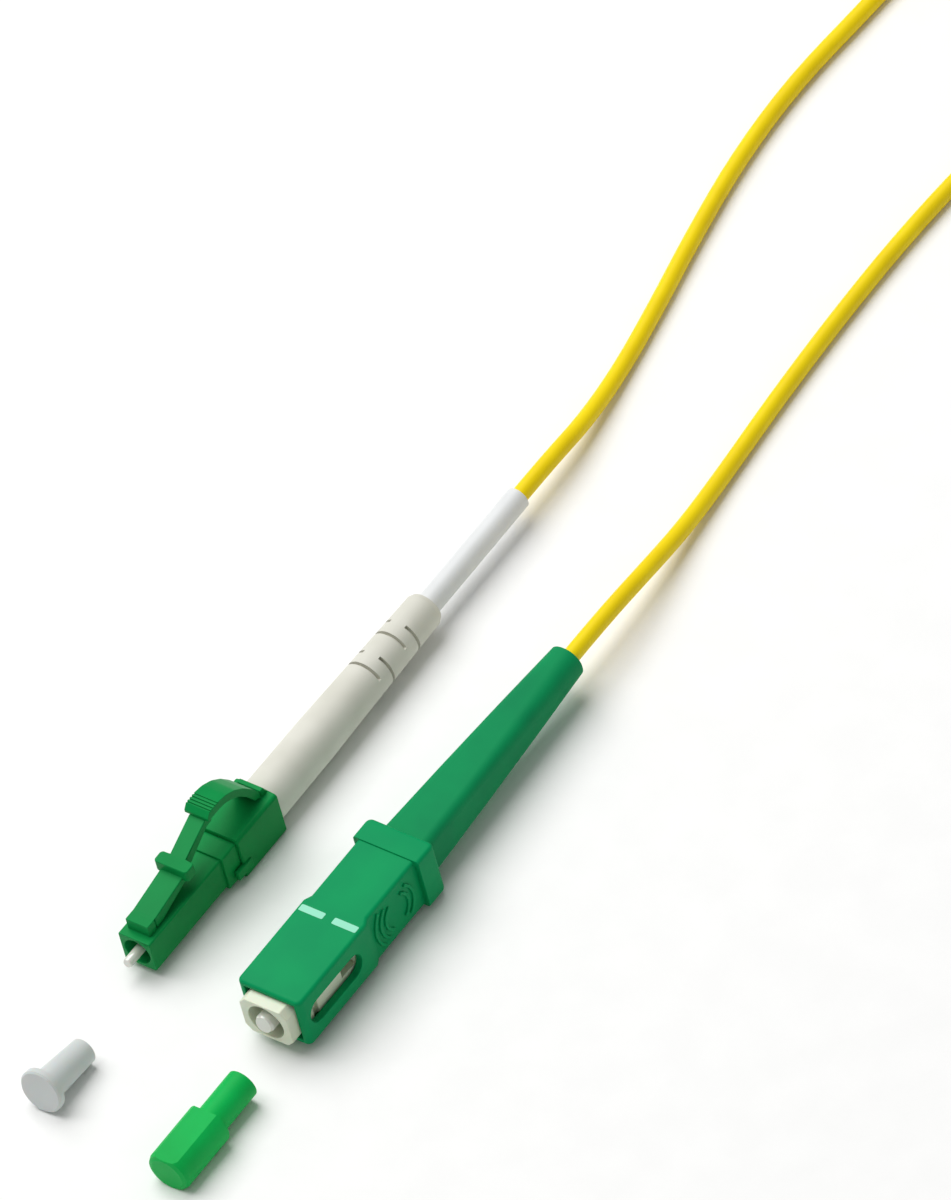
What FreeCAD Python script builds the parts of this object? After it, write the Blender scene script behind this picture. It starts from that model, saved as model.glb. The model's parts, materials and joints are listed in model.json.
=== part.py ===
import FreeCAD, Part

import math
import os

import Sketcher

# Simplex fibre patch cord: a small square connector with a latch, a larger push-pull connector,
# the cord between them and the two dust caps, lying on a table. All lengths are in millimetres.
# The bench frame has the tip of the small ferrule over its origin, +Y towards the cord and +Z up.

SIZES = {
    # Cord
    "cord_diameter": 2.1,
    "buffer_diameter": 0.9,
    "cord_gap": 0.05,
    "fibre_gap": 0.1,
    # Fits that both connectors share
    "press_gap": 0.05,
    "slide_gap": 0.15,
    "hinge_gap": 0.12,
    "rest_gap": 0.06,
    "ferrule_gap": 0.12,
    "ferrule_groove_depth": 0.17,
    "mate_gap": 0.3,
    "edge_radius": 0.25,
    # Small connector: plug housing
    "lc_plug_width": 4.52,
    "lc_plug_length": 14.1,
    "lc_collar_length": 2.7,
    "lc_collar_step": 0.32,
    "lc_opening_diameter": 3.6,
    "lc_opening_depth": 2.6,
    "lc_web_thickness": 0.5,
    "lc_chamber_diameter": 3.1,
    # Small connector: latch
    "lc_latch_start": 1.1,
    "lc_latch_root_length": 1.4,
    "lc_latch_root_height": 1.6,
    "lc_latch_width": 3.2,
    "lc_latch_lug_width": 4.7,
    "lc_latch_tail_width": 2.3,
    "lc_latch_plate_length": 5.8,
    "lc_latch_plate_rise": 1.05,
    "lc_latch_lug_length": 1.7,
    "lc_latch_lug_step": 1.15,
    "lc_latch_tail_length": 5.6,
    "lc_latch_tail_rise": 2.1,
    "lc_latch_thickness": 1.0,
    "lc_latch_lug_radius": 0.45,
    # Small connector: rear housing and trigger
    "lc_rear_width": 6.0,
    "lc_rear_height": 6.4,
    "lc_rear_length": 7.9,
    "lc_rear_bore_diameter": 5.0,
    "lc_tab_length": 1.5,
    "lc_tab_height": 1.3,
    "lc_tab_thickness": 0.6,
    "lc_tab_drop": 0.78,
    "lc_trigger_width": 3.4,
    "lc_trigger_root_length": 1.2,
    "lc_trigger_root_height": 1.1,
    "lc_trigger_tip_length": 2.0,
    "lc_trigger_tip_thickness": 1.15,
    "lc_trigger_thickness": 1.0,
    "lc_trigger_ridge_depth": 0.16,
    "lc_trigger_ridge_width": 0.2,
    "lc_trigger_ridge_pitch": 0.45,
    # Small connector: ferrule, spring and crimp
    "lc_ferrule_diameter": 1.249,
    "lc_ferrule_length": 6.4,
    "lc_ferrule_reach": 2.1,
    "lc_float": 0.8,
    "lc_head_diameter": 2.8,
    "lc_head_length": 1.8,
    "lc_stem_diameter": 1.8,
    "lc_stem_length": 3.1,
    "lc_spring_wire": 0.24,
    "lc_spring_coil_diameter": 2.3,
    "lc_spring_length": 5.5,
    "lc_backbone_shoulder_diameter": 4.4,
    "lc_backbone_shoulder_length": 1.5,
    "lc_backbone_tail_diameter": 2.8,
    "lc_backbone_tail_length": 5.6,
    "lc_crimp_wall": 0.45,
    "lc_crimp_length": 6.8,
    # Small connector: boot and sleeve
    "lc_boot_base_diameter": 5.9,
    "lc_boot_bulge_diameter": 5.75,
    "lc_boot_bulge_place": 11.0,
    "lc_boot_tip_diameter": 4.75,
    "lc_boot_length": 33.3,
    "lc_boot_neck_length": 3.2,
    "lc_boot_end_radius": 0.8,
    "lc_boot_slot_width": 0.42,
    "lc_boot_slot_floor_diameter": 3.8,
    "lc_boot_slot_angle": 130.0,
    "lc_sleeve_diameter": 3.0,
    "lc_sleeve_visible": 18.4,
    "lc_sleeve_inside": 8.0,
    # Large connector: grip
    "sc_grip_width": 9.0,
    "sc_grip_height": 7.4,
    "sc_grip_length": 26.8,
    "sc_front_length": 13.4,
    "sc_waist_inset": 0.5,
    "sc_waist_slope": 0.9,
    "sc_flange_length": 3.3,
    "sc_flange_width": 9.4,
    "sc_flange_rise": 0.2,
    "sc_plan_radius": 0.8,
    "sc_key_height": 0.8,
    "sc_key_width": 3.1,
    "sc_key_start": 1.0,
    "sc_key_length": 13.0,
    "sc_window_start": 1.3,
    "sc_window_length": 10.0,
    "sc_window_height": 3.2,
    "sc_rib_width": 0.42,
    "sc_rib_height": 0.25,
    "sc_rib_first_radius": 2.2,
    "sc_rib_pitch": 0.95,
    # Large connector: plug frame
    "sc_frame_width": 6.8,
    "sc_frame_height": 5.6,
    "sc_frame_reach": 1.5,
    "sc_frame_to_boot": 1.8,
    "sc_frame_chamfer": 0.9,
    "sc_opening_diameter": 4.9,
    "sc_opening_depth": 6.5,
    "sc_web_thickness": 0.6,
    "sc_chamber_diameter": 4.6,
    "sc_frame_window_start": 8.6,
    "sc_frame_window_length": 2.6,
    "sc_frame_window_height": 2.4,
    "sc_frame_groove_start": 2.9,
    "sc_frame_groove_length": 0.9,
    "sc_frame_groove_depth": 0.5,
    # Large connector: ferrule, spring and crimp
    "sc_ferrule_diameter": 2.499,
    "sc_ferrule_length": 10.5,
    "sc_ferrule_reach": 0.7,
    "sc_float": 1.0,
    "sc_head_diameter": 4.3,
    "sc_head_length": 2.4,
    "sc_stem_diameter": 3.2,
    "sc_stem_length": 3.5,
    "sc_spring_wire": 0.4,
    "sc_spring_coil_diameter": 3.85,
    "sc_spring_length": 7.0,
    "sc_stop_shoulder_diameter": 5.4,
    "sc_stop_shoulder_length": 1.4,
    "sc_stop_tail_diameter": 3.4,
    "sc_stop_tail_length": 5.6,
    "sc_crimp_wall": 0.45,
    "sc_crimp_length": 7.2,
    # Large connector: boot
    "sc_boot_base_width": 6.7,
    "sc_boot_base_height": 5.5,
    "sc_boot_inside": 5.0,
    "sc_boot_length": 32.0,
    "sc_boot_tip_diameter": 4.4,
    "sc_boot_corner": 1.1,
    # Dust caps
    "cap_gap": 0.03,
    "cap_end_wall": 1.2,
    "cap_edge_radius": 0.2,
    "lc_cap_flange_diameter": 5.7,
    "lc_cap_flange_length": 0.9,
    "lc_cap_root_diameter": 4.0,
    "lc_cap_flare": 0.5,
    "lc_cap_tip_diameter": 3.3,
    "lc_cap_length": 8.3,
    "sc_cap_head_diameter": 5.6,
    "sc_cap_head_flat": 4.6,
    "sc_cap_head_length": 8.4,
    "sc_cap_head_radius": 0.7,
    "sc_cap_tube_diameter": 3.9,
    "sc_cap_length": 15.0,
    # Places on the bench, from the tip of the small ferrule
    "sc_axis_place": 20.7,
    "sc_tip_place": -1.4,
    "lc_cap_place_across": 2.0,
    "lc_cap_place_along": -20.0,
    "sc_cap_place_across": 22.1,
    "sc_cap_place_along": -23.0,
    # Coil of the cord that is put away
    "coil_place_across": 8.0,
    "coil_place_along": 187.0,
    "coil_mean_radius": 12.6,
    "coil_bottom_turns": 4,
    "coil_layers": 4,
    # Angle of the ferrule tips, in degrees
    "tip_angle": 8.0,
}

# The cord's free stretches, as points chosen by hand in the bench frame
LC_RUN = [
    (0.0, 78.5, 3.2),
    (0.0, 85.0, 3.2),
    (-0.5, 92.5, 2.0),
    (-1.9, 101.5, 1.05),
    (-3.8, 111.5, 1.05),
    (-6.2, 122.5, 1.05),
    (-8.4, 135.0, 1.05),
    (-9.2, 148.0, 1.05),
    (-8.2, 161.0, 1.05),
    (-7.6, 174.0, 1.05),
    (-7.75, 187.0, 1.05),
]
SC_RUN = [
    (20.7, 59.6, 4.5),
    (20.7, 67.0, 4.5),
    (20.3, 75.0, 3.4),
    (19.5, 84.0, 1.7),
    (18.5, 94.0, 1.05),
    (17.5, 105.5, 1.05),
    (16.8, 119.0, 1.05),
    (16.6, 132.5, 1.05),
    (17.3, 146.0, 1.05),
    (18.7, 157.5, 1.05),
    (19.8, 167.0, 2.6),
    (20.5, 176.0, 6.4),
    (20.6, 181.5, 7.2),
    (20.6, 187.0, 6.5),
]
ARC_SHARE = 0.45
# Shares of a length: a ferrule's chamfered nose, and the slots along the small connector's boot
NOSE_SHARE = 0.22
SLOT_FIRST_SHARE = 0.62
SLOT_PAIR_SHARE = 0.06
SLOT_PITCH_SHARE = 0.159
# What is left of a corner's size at the middle of the rounding that takes it off
ROUND_SHARE = 0.3
# The latch tail is level from this share of its length, and a little thicker where it bends
TAIL_SLOPE_SHARE = 0.8
TAIL_BEND_SHARE = 1.1
# The trigger's arch, from its root: shares of the run forward and of the rise, above and below
ARCH_TOP = ((0.10, 0.27), (0.24, 0.56), (0.40, 0.79), (0.58, 0.94), (0.76, 1.0))
ARCH_UNDER = ((1.0, 1.0), (0.8, 0.965), (0.6, 0.87), (0.35, 0.64), (0.15, 0.33))
NOSE_TOP = (0.93, 1.0)
NOSE_FRONT = (1.0, 0.86)
BEND_SHARE = 0.3
TIP_OVERLAP_SHARE = 0.55
TRIGGER_RIDGES = 4
# The large connector's boot: sections at shares of its length, and the roundness of its end
BOOT_SECTIONS = (0.0, 0.35, 0.7, 1.0)
END_ROUND_SHARE = 0.47
# Each grip rib: which way it bows, its place from the middle outwards, and half its arc in degrees
GRIP_RIBS = ((-1, 0, 60), (-1, 1, 50), (-1, 2, 42), (1, 0, 60), (1, 1, 50))
RIB_STEPS = 6
# The coil's outline: its upright side and half its top, in cord diameters
COIL_SIDE_SHARE = 0.7
COIL_TOP_SHARE = 0.6
# A cutting tool reaches this much further than the width that it cuts through
CUT_MARGIN = 1.5
# A spring's wire is drawn with six flat sides, and each turn with twelve straight stretches
WIRE_SIDES = 6
TURN_STEPS = 12
SPRING_TURNS = 7
# An edge runs along an axis when at least this share of its length does
MOSTLY = 0.8
# Two points this close in millimetres are the same, and a cut takes at least this much away
CLOSE = 1e-3

doc = FreeCAD.newDocument("PatchCord")


class Size:
    """A length with the expression that gives it, so that a feature can be bound to it."""

    def __init__(self, text, value):
        self.text = text
        self.value = float(value)

    def _join(self, other, sign, value):
        text = other.text if isinstance(other, Size) else repr(float(other))
        return Size("(%s %s %s)" % (self.text, sign, text), value)

    def __add__(self, other):
        return self._join(other, "+", self.value + number(other))

    def __sub__(self, other):
        return self._join(other, "-", self.value - number(other))

    def __mul__(self, other):
        return self._join(other, "*", self.value * number(other))

    def __truediv__(self, other):
        return self._join(other, "/", self.value / number(other))

    def __neg__(self):
        return Size("(0 - %s)" % self.text, -self.value)


def number(size):
    return size.value if isinstance(size, Size) else float(size)


class Sheet:
    """The spreadsheet of driving sizes, read as Size values by name."""

    def __init__(self, sizes):
        self.cells = doc.addObject("Spreadsheet::Sheet", "Sizes")
        for row, (alias, value) in enumerate(sizes.items(), start=1):
            self.cells.set("A%d" % row, alias)
            self.cells.set("B%d" % row, str(value))
            self.cells.setAlias("B%d" % row, alias)
        doc.recompute()

    def __getattr__(self, alias):
        return Size("Sizes.%s" % alias, self.cells.get(alias))


s = Sheet(SIZES)
ZERO = s.cord_diameter * 0


def bind(obj, prop, size):
    """Set a property and tie it to the sheet where the size comes from there."""
    if isinstance(size, Size):
        obj.setExpression(prop, size.text)
    else:
        setattr(obj, prop, size)


# Sketches


def new_body(label):
    body = doc.addObject("PartDesign::Body", label)
    body.Label = label
    return body


def origin_part(body, role):
    return next(part for part in body.Origin.OriginFeatures if part.Role == role)


def new_sketch(body, plane, height=None):
    """A sketch on one of the body's own planes, lifted by height along the plane's normal."""
    sketch = body.newObject("Sketcher::SketchObject", body.Label + "_sketch")
    sketch.AttachmentSupport = [(origin_part(body, plane), "")]
    sketch.MapMode = "FlatFace"
    if height is not None:
        bind(sketch, "AttachmentOffset.Base.z", height)
    return sketch


def place_point(sketch, geometry, end, across, along):
    """Dimension one point of the sketch from its origin."""
    for kind, size in (("DistanceX", across), ("DistanceY", along)):
        constraint = Sketcher.Constraint(kind, -1, 1, geometry, end, number(size))
        index = sketch.addConstraint(constraint)
        sketch.setExpression("Constraints[%d]" % index, size.text)


def draw_outline(sketch, points):
    """A closed outline of straight sides through points, each dimensioned both ways."""
    vectors = [FreeCAD.Vector(number(x), number(y), 0) for x, y in points]
    first = sketch.GeometryCount
    count = len(points)
    for i in range(count):
        sketch.addGeometry(Part.LineSegment(vectors[i], vectors[(i + 1) % count]), False)
    for i in range(count):
        joined = (first + i, 2, first + (i + 1) % count, 1)
        sketch.addConstraint(Sketcher.Constraint("Coincident", *joined))
    for i, (x, y) in enumerate(points):
        place_point(sketch, first + i, 1, x, y)
    return sketch


def draw_block(sketch, width, height, middle=ZERO):
    """A rectangle centred on the sketch's Y axis, middle above the X axis."""
    half = width / 2
    low = middle - height / 2
    high = middle + height / 2
    return draw_outline(sketch, [(-half, low), (half, low), (half, high), (-half, high)])


def draw_circle(sketch, diameter, across=ZERO, along=ZERO):
    centre = FreeCAD.Vector(number(across), number(along), 0)
    normal = FreeCAD.Vector(0, 0, 1)
    index = sketch.addGeometry(Part.Circle(centre, normal, number(diameter) / 2), False)
    place_point(sketch, index, 3, across, along)
    radius = sketch.addConstraint(Sketcher.Constraint("Diameter", index, number(diameter)))
    sketch.setExpression("Constraints[%d]" % radius, diameter.text)
    return sketch


# Features


def pad(body, sketch, length, symmetric=False):
    feature = body.newObject("PartDesign::Pad", body.Label + "_pad")
    feature.Profile = sketch
    bind(feature, "Length", length)
    feature.Midplane = symmetric
    doc.recompute()
    return feature


def cut_checked(body, feature, before):
    """Recompute, and stop if a cut took nothing away."""
    doc.recompute()
    if not body.Shape.Volume < before - CLOSE ** 2:
        raise RuntimeError("%s cuts nothing" % feature.Label)
    return feature


def pocket(body, sketch, length, symmetric=False):
    before = body.Shape.Volume
    feature = body.newObject("PartDesign::Pocket", body.Label + "_pocket")
    feature.Profile = sketch
    bind(feature, "Length", length)
    feature.Midplane = symmetric
    feature.Reversed = not symmetric
    return cut_checked(body, feature, before)


def bore(body, start, length, diameter):
    """A round hole along the connector's axis, from start behind the front face."""
    return pocket(body, draw_circle(new_sketch(body, "XY_Plane", start), diameter), length)


def turned(label, points):
    """A turned piece: the outline of half its section, as radius and place along the axis."""
    body = new_body(label)
    sketch = draw_outline(new_sketch(body, "XZ_Plane"), points)
    feature = body.newObject("PartDesign::Revolution", label + "_turned")
    feature.Profile = sketch
    feature.ReferenceAxis = (origin_part(body, "Z_Axis"), [""])
    feature.Angle = 360
    doc.recompute()
    return body


def ring_groove(body, plane, points, angle):
    """Turn an outline through part of a turn, and cut it out on both sides of the body."""
    before = body.Shape.Volume
    sketch = draw_outline(new_sketch(body, plane), points)
    feature = body.newObject("PartDesign::Groove", body.Label + "_groove")
    feature.Profile = sketch
    feature.ReferenceAxis = (origin_part(body, "Z_Axis"), [""])
    bind(feature, "Angle", angle)
    feature.Midplane = True
    cut_checked(body, feature, before)
    pattern = body.newObject("PartDesign::PolarPattern", body.Label + "_pattern")
    pattern.Originals = [feature]
    pattern.Axis = (origin_part(body, "Z_Axis"), [""])
    pattern.Angle = 360
    pattern.Occurrences = 2
    body.Tip = pattern
    doc.recompute()
    return pattern


def is_straight(edge):
    return edge.Curve.TypeId in ("Part::GeomLine", "Part::GeomLineSegment")


def edges_along(shape, axis, wanted):
    """The straight edges that run mostly along axis (0, 1 or 2) and that wanted accepts."""
    names = []
    for index, edge in enumerate(shape.Edges, start=1):
        if not is_straight(edge):
            continue
        run = edge.Vertexes[-1].Point - edge.Vertexes[0].Point
        if abs(run[axis]) > MOSTLY * run.Length and wanted(edge.CenterOfMass):
            names.append("Edge%d" % index)
    return names


def near_any(place, points):
    """Whether a place lies on one of the points, given as height above the axis and place."""
    return any(math.hypot(place.y - high, place.z - along) < CLOSE for high, along in points)


def dress(body, kind, size_name, size, axis, wanted):
    """A fillet or a chamfer on chosen edges of the body as it stands."""
    base = body.Tip
    names = edges_along(body.Shape, axis, wanted)
    feature = body.newObject("PartDesign::" + kind, "%s_%s" % (body.Label, kind.lower()))
    feature.Base = (base, names)
    bind(feature, size_name, size)
    doc.recompute()
    if "Invalid" in feature.State:
        raise RuntimeError("%s fails on %s" % (feature.Label, names))
    return feature


def fillet(body, radius, axis, wanted):
    return dress(body, "Fillet", "Radius", radius, axis, wanted)


def chamfer(body, size, axis, wanted):
    return dress(body, "Chamfer", "Size", size, axis, wanted)


# Pieces that both connectors have


def make_ferrule(label, diameter, start, length, groove):
    """A zirconia ferrule with a chamfered nose and a tip cut at the angle of an angled contact.

    The groove gives the two ends of a shallow groove where the ferrule passes the web.
    """
    radius = diameter / 2
    neck = radius - s.ferrule_groove_depth
    nose = diameter * NOSE_SHARE
    body = turned(
        label,
        [
            (ZERO, start),
            (radius - nose / 2, start),
            (radius, start + nose),
            (radius, groove[0]),
            (neck, groove[0]),
            (neck, groove[1]),
            (radius, groove[1]),
            (radius, start + length),
            (ZERO, start + length),
        ],
    )
    before = body.Shape.Volume
    fall = diameter * math.tan(math.radians(number(s.tip_angle)))
    wedge = new_sketch(body, "YZ_Plane")
    front = start - diameter
    draw_outline(
        wedge,
        [(radius, front), (radius, start + fall), (-radius, start), (-radius, front)],
    )
    feature = body.newObject("PartDesign::Pocket", label + "_tip")
    feature.Profile = wedge
    bind(feature, "Length", diameter * 2)
    feature.Midplane = True
    cut_checked(body, feature, before)
    return body


def make_flange(label, ferrule, fibre, start, end, head, stem):
    """The metal flange pressed on the ferrule: a head that seats, and a stem inside the spring."""
    head_diameter, head_length = head
    stem_diameter, stem_length = stem
    back = start + head_length + stem_length
    return turned(
        label,
        [
            (ferrule / 2, start),
            (head_diameter / 2, start),
            (head_diameter / 2, start + head_length),
            (stem_diameter / 2, start + head_length),
            (stem_diameter / 2, back),
            (fibre / 2 + s.fibre_gap, back),
            (fibre / 2 + s.fibre_gap, end),
            (ferrule / 2, end),
        ],
    )


def make_tube(label, inner, outer, start, end):
    """A plain turned tube, given by its two diameters."""
    return turned(
        label,
        [(inner / 2, start), (outer / 2, start), (outer / 2, end), (inner / 2, end)],
    )


def make_stepped_tube(label, inner, steps):
    """A turned tube whose outside has steps, each a diameter with its start and end."""
    points = [(inner / 2, steps[0][1])]
    for diameter, start, end in steps:
        points += [(diameter / 2, start), (diameter / 2, end)]
    points.append((inner / 2, steps[-1][2]))
    return turned(label, points)


def make_spring(label, wire, coil_diameter, start, length):
    """A compression spring: a ring of points carried up a helix and closed with flat facets."""
    wire_radius = number(wire) / 2
    radius = number(coil_diameter) / 2
    height = number(length) - 4 * wire_radius - 2 * number(s.rest_gap)
    foot = number(start + wire + s.rest_gap)
    steps = SPRING_TURNS * TURN_STEPS
    points = []
    for step in range(steps + 1):
        around = math.tau * step / TURN_STEPS
        lift = foot + height * step / steps
        for side in range(WIRE_SIDES):
            across = math.tau * side / WIRE_SIDES
            reach = radius + wire_radius * math.cos(across)
            rise = lift + wire_radius * math.sin(across)
            x, y = reach * math.cos(around), reach * math.sin(around)
            points.append(FreeCAD.Vector(x, y, rise))
    facets = []
    for step in range(steps):
        for side in range(WIRE_SIDES):
            a = step * WIRE_SIDES + side
            b = step * WIRE_SIDES + (side + 1) % WIRE_SIDES
            c, d = a + WIRE_SIDES, b + WIRE_SIDES
            facets += [(a, b, d), (a, d, c)]
    last = steps * WIRE_SIDES
    for side in range(1, WIRE_SIDES - 1):
        facets += [(0, side + 1, side), (last, last + side, last + side + 1)]
    shell = Part.Shape()
    shell.makeShapeFromMesh((points, facets), wire_radius / 100)
    solid = Part.Solid(Part.Shell(shell.Faces))
    if solid.Volume < 0:
        solid.reverse()
    spring = doc.addObject("Part::Feature", label)
    spring.Label = label
    spring.Shape = solid
    return spring


# Small connector


def lc_places():
    """Where the pieces of the small connector start, behind the front face of its plug."""
    places = {"chamber": s.lc_opening_depth + s.lc_web_thickness}
    places["flange"] = places["chamber"] + s.rest_gap
    places["spring"] = places["flange"] + s.lc_head_length
    places["backbone"] = places["spring"] + s.lc_spring_length
    places["ferrule"] = ZERO - s.lc_ferrule_reach
    places["ferrule_end"] = places["ferrule"] + s.lc_ferrule_length
    places["rear"] = s.lc_plug_length + s.lc_collar_length
    places["tail"] = places["rear"] + s.lc_backbone_shoulder_length
    places["boot"] = places["rear"] + s.lc_rear_length
    places["crimp"] = places["tail"] + s.rest_gap
    places["jacket"] = places["crimp"] + s.lc_crimp_length
    places["boot_end"] = places["boot"] + s.lc_boot_length
    places["sleeve"] = places["boot_end"] - s.lc_sleeve_inside
    places["exit"] = places["boot_end"] + s.lc_sleeve_visible
    places["latch"] = s.lc_latch_start + s.lc_latch_root_length + s.hinge_gap
    places["latch_top"] = s.lc_plug_width / 2 + s.lc_latch_root_height
    return places


LC = lc_places()


def make_lc_housing():
    body = new_body("lc_housing")
    width = s.lc_plug_width
    pad(body, draw_block(new_sketch(body, "XY_Plane"), width, width), LC["rear"])
    collar = width + s.lc_collar_step * 2
    collar_sketch = new_sketch(body, "XY_Plane", s.lc_plug_length)
    pad(body, draw_block(collar_sketch, collar, collar), s.lc_collar_length)
    fillet(body, s.edge_radius, 2, lambda place: True)
    root = draw_outline(
        new_sketch(body, "YZ_Plane"),
        [
            (width / 2 - s.edge_radius, s.lc_latch_start),
            (LC["latch_top"], s.lc_latch_start),
            (LC["latch_top"], s.lc_latch_start + s.lc_latch_root_length),
            (width / 2 - s.edge_radius, s.lc_latch_start + s.lc_latch_root_length),
        ],
    )
    pad(body, root, s.lc_latch_width, symmetric=True)
    bore(body, ZERO, s.lc_opening_depth, s.lc_opening_diameter)
    bore(body, ZERO, LC["rear"], s.lc_ferrule_diameter + s.ferrule_gap * 2)
    bore(body, LC["chamber"], LC["rear"] - LC["chamber"], s.lc_chamber_diameter)
    return body


def latch_lines():
    """The latch arm's corners, as height above the axis and place behind the front face."""
    start = LC["latch"]
    lug = start + s.lc_latch_plate_length
    lug_end = lug + s.lc_latch_lug_length
    slope_end = lug_end + s.lc_latch_tail_length * TAIL_SLOPE_SHARE
    plate_top = LC["latch_top"] + s.lc_latch_plate_rise
    lug_top = plate_top + s.lc_latch_lug_step
    tail_top = lug_top + s.lc_latch_tail_rise
    return {
        "start": start,
        "lug": lug,
        "lug_end": lug_end,
        "slope_end": slope_end,
        "end": lug_end + s.lc_latch_tail_length,
        "plate_top": plate_top,
        "lug_top": lug_top,
        "tail_top": tail_top,
    }


LATCH = latch_lines()


def make_lc_latch():
    """The latch arm in three widths: the plate, the two lugs, and the tail under the trigger."""
    body = new_body("lc_latch")
    thick = s.lc_latch_thickness
    low = s.lc_plug_width / 2 + s.slide_gap
    plate = draw_outline(
        new_sketch(body, "YZ_Plane"),
        [
            (low, LATCH["start"]),
            (LC["latch_top"], LATCH["start"]),
            (LATCH["plate_top"], LATCH["lug"]),
            (LATCH["plate_top"], LATCH["lug_end"]),
            (LATCH["plate_top"] - thick, LATCH["lug_end"]),
            (LATCH["plate_top"] - thick, LATCH["lug"]),
            (low, LATCH["start"] + thick),
        ],
    )
    pad(body, plate, s.lc_latch_width, symmetric=True)
    lugs = draw_outline(
        new_sketch(body, "YZ_Plane"),
        [
            (LATCH["plate_top"] - thick / 2, LATCH["lug"]),
            (LATCH["lug_top"], LATCH["lug"]),
            (LATCH["lug_top"], LATCH["lug_end"]),
            (LATCH["plate_top"] - thick / 2, LATCH["lug_end"]),
        ],
    )
    pad(body, lugs, s.lc_latch_lug_width, symmetric=True)
    inside = number(s.lc_latch_width) / 2
    fillet(body, s.lc_latch_lug_radius, 1, lambda place: abs(place.x) - inside > CLOSE)
    tail = draw_outline(
        new_sketch(body, "YZ_Plane"),
        [
            (LATCH["plate_top"] - thick / 2, LATCH["lug"]),
            (LATCH["lug_top"], LATCH["lug_end"]),
            (LATCH["tail_top"], LATCH["slope_end"]),
            (LATCH["tail_top"], LATCH["end"]),
            (LATCH["tail_top"] - thick, LATCH["end"]),
            (LATCH["tail_top"] - thick * TAIL_BEND_SHARE, LATCH["slope_end"]),
            (LATCH["plate_top"] - thick / 2, LATCH["lug_end"]),
        ],
    )
    pad(body, tail, s.lc_latch_tail_width, symmetric=True)
    return body


def make_lc_rear_housing():
    body = new_body("lc_rear_housing")
    top = s.lc_rear_height / 2
    shell = draw_block(new_sketch(body, "XY_Plane", LC["rear"]), s.lc_rear_width, s.lc_rear_height)
    pad(body, shell, s.lc_rear_length)
    fillet(body, s.edge_radius * 2, 2, lambda place: True)
    root_start = LC["boot"] - s.lc_trigger_root_length
    root = draw_outline(
        new_sketch(body, "YZ_Plane"),
        [
            (top - s.edge_radius, root_start),
            (top + s.lc_trigger_root_height, root_start),
            (top + s.lc_trigger_root_height, LC["boot"] - s.lc_trigger_root_length / 2),
            (top, LC["boot"]),
            (top - s.edge_radius, LC["boot"]),
        ],
    )
    pad(body, root, s.lc_trigger_width, symmetric=True)
    bore(body, LC["rear"], s.lc_rear_length, s.lc_rear_bore_diameter)
    collar = s.lc_plug_width / 2 + s.lc_collar_step + s.press_gap
    tab_start = LC["rear"] - s.lc_tab_length
    for side in (1, -1):
        tab = new_sketch(body, "XY_Plane", tab_start)
        near = collar * side
        far = (collar + s.lc_tab_thickness) * side
        high = -s.lc_tab_drop
        low = high - s.lc_tab_height
        draw_outline(tab, [(near, low), (far, low), (far, high), (near, high)])
        pad(body, tab, s.lc_tab_length + s.lc_tab_height)
    return body


def trigger_lines():
    """The trigger's corners, as height above the axis and place behind the front face."""
    root = LC["boot"] - s.lc_trigger_root_length - s.hinge_gap
    tip = LATCH["end"] - s.lc_trigger_tip_length * TIP_OVERLAP_SHARE
    low = LATCH["tail_top"] + s.rest_gap * 2
    top = s.lc_rear_height / 2
    return {"root": root, "tip": tip, "low": low, "top": top}


TRIGGER = trigger_lines()


def along_arch(shares, rise_start, rise, run_start, run):
    """Points of an arch, as height above the axis and place, from shares of its run and rise."""
    return [(rise_start + rise * up, run_start - run * forward) for forward, up in shares]


def make_lc_trigger():
    """The curved trigger: an arch from the rear housing to a ridged nose over the latch."""
    body = new_body("lc_trigger")
    thick = s.lc_trigger_thickness
    tip_end = TRIGGER["tip"] + s.lc_trigger_tip_length
    tip_top = TRIGGER["low"] + s.lc_trigger_tip_thickness
    base = TRIGGER["top"] + s.slide_gap
    shoulder = TRIGGER["root"] - thick
    root_top = TRIGGER["top"] + s.lc_trigger_root_height
    run = TRIGGER["root"] - TRIGGER["tip"]
    above = (root_top, tip_top - root_top, TRIGGER["root"], run)
    foot = base + thick / 2
    top = along_arch(ARCH_TOP, *above)
    nose = along_arch((NOSE_TOP, NOSE_FRONT), *above)
    under = along_arch(ARCH_UNDER, foot, TRIGGER["low"] - foot, shoulder, shoulder - tip_end)
    corners = [(base, TRIGGER["root"]), (root_top, TRIGGER["root"])] + top + nose
    corners += [(TRIGGER["low"], TRIGGER["tip"])] + under + [(foot, shoulder)]
    outline = draw_outline(new_sketch(body, "YZ_Plane"), corners)
    pad(body, outline, s.lc_trigger_width, symmetric=True)
    bends = [(number(height), number(place)) for height, place in top + under]
    fillet(body, run * BEND_SHARE, 0, lambda place: near_any(place, bends))
    ridges = new_sketch(body, "YZ_Plane")
    last = nose[0][1]
    for ridge in range(TRIGGER_RIDGES):
        front = last + s.lc_trigger_ridge_pitch * ridge
        back = front + s.lc_trigger_ridge_width
        floor = tip_top - s.lc_trigger_ridge_depth
        draw_outline(ridges, [(floor, front), (tip_top, front), (tip_top, back), (floor, back)])
    pocket(body, ridges, s.lc_trigger_width * CUT_MARGIN, symmetric=True)
    return body


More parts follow.
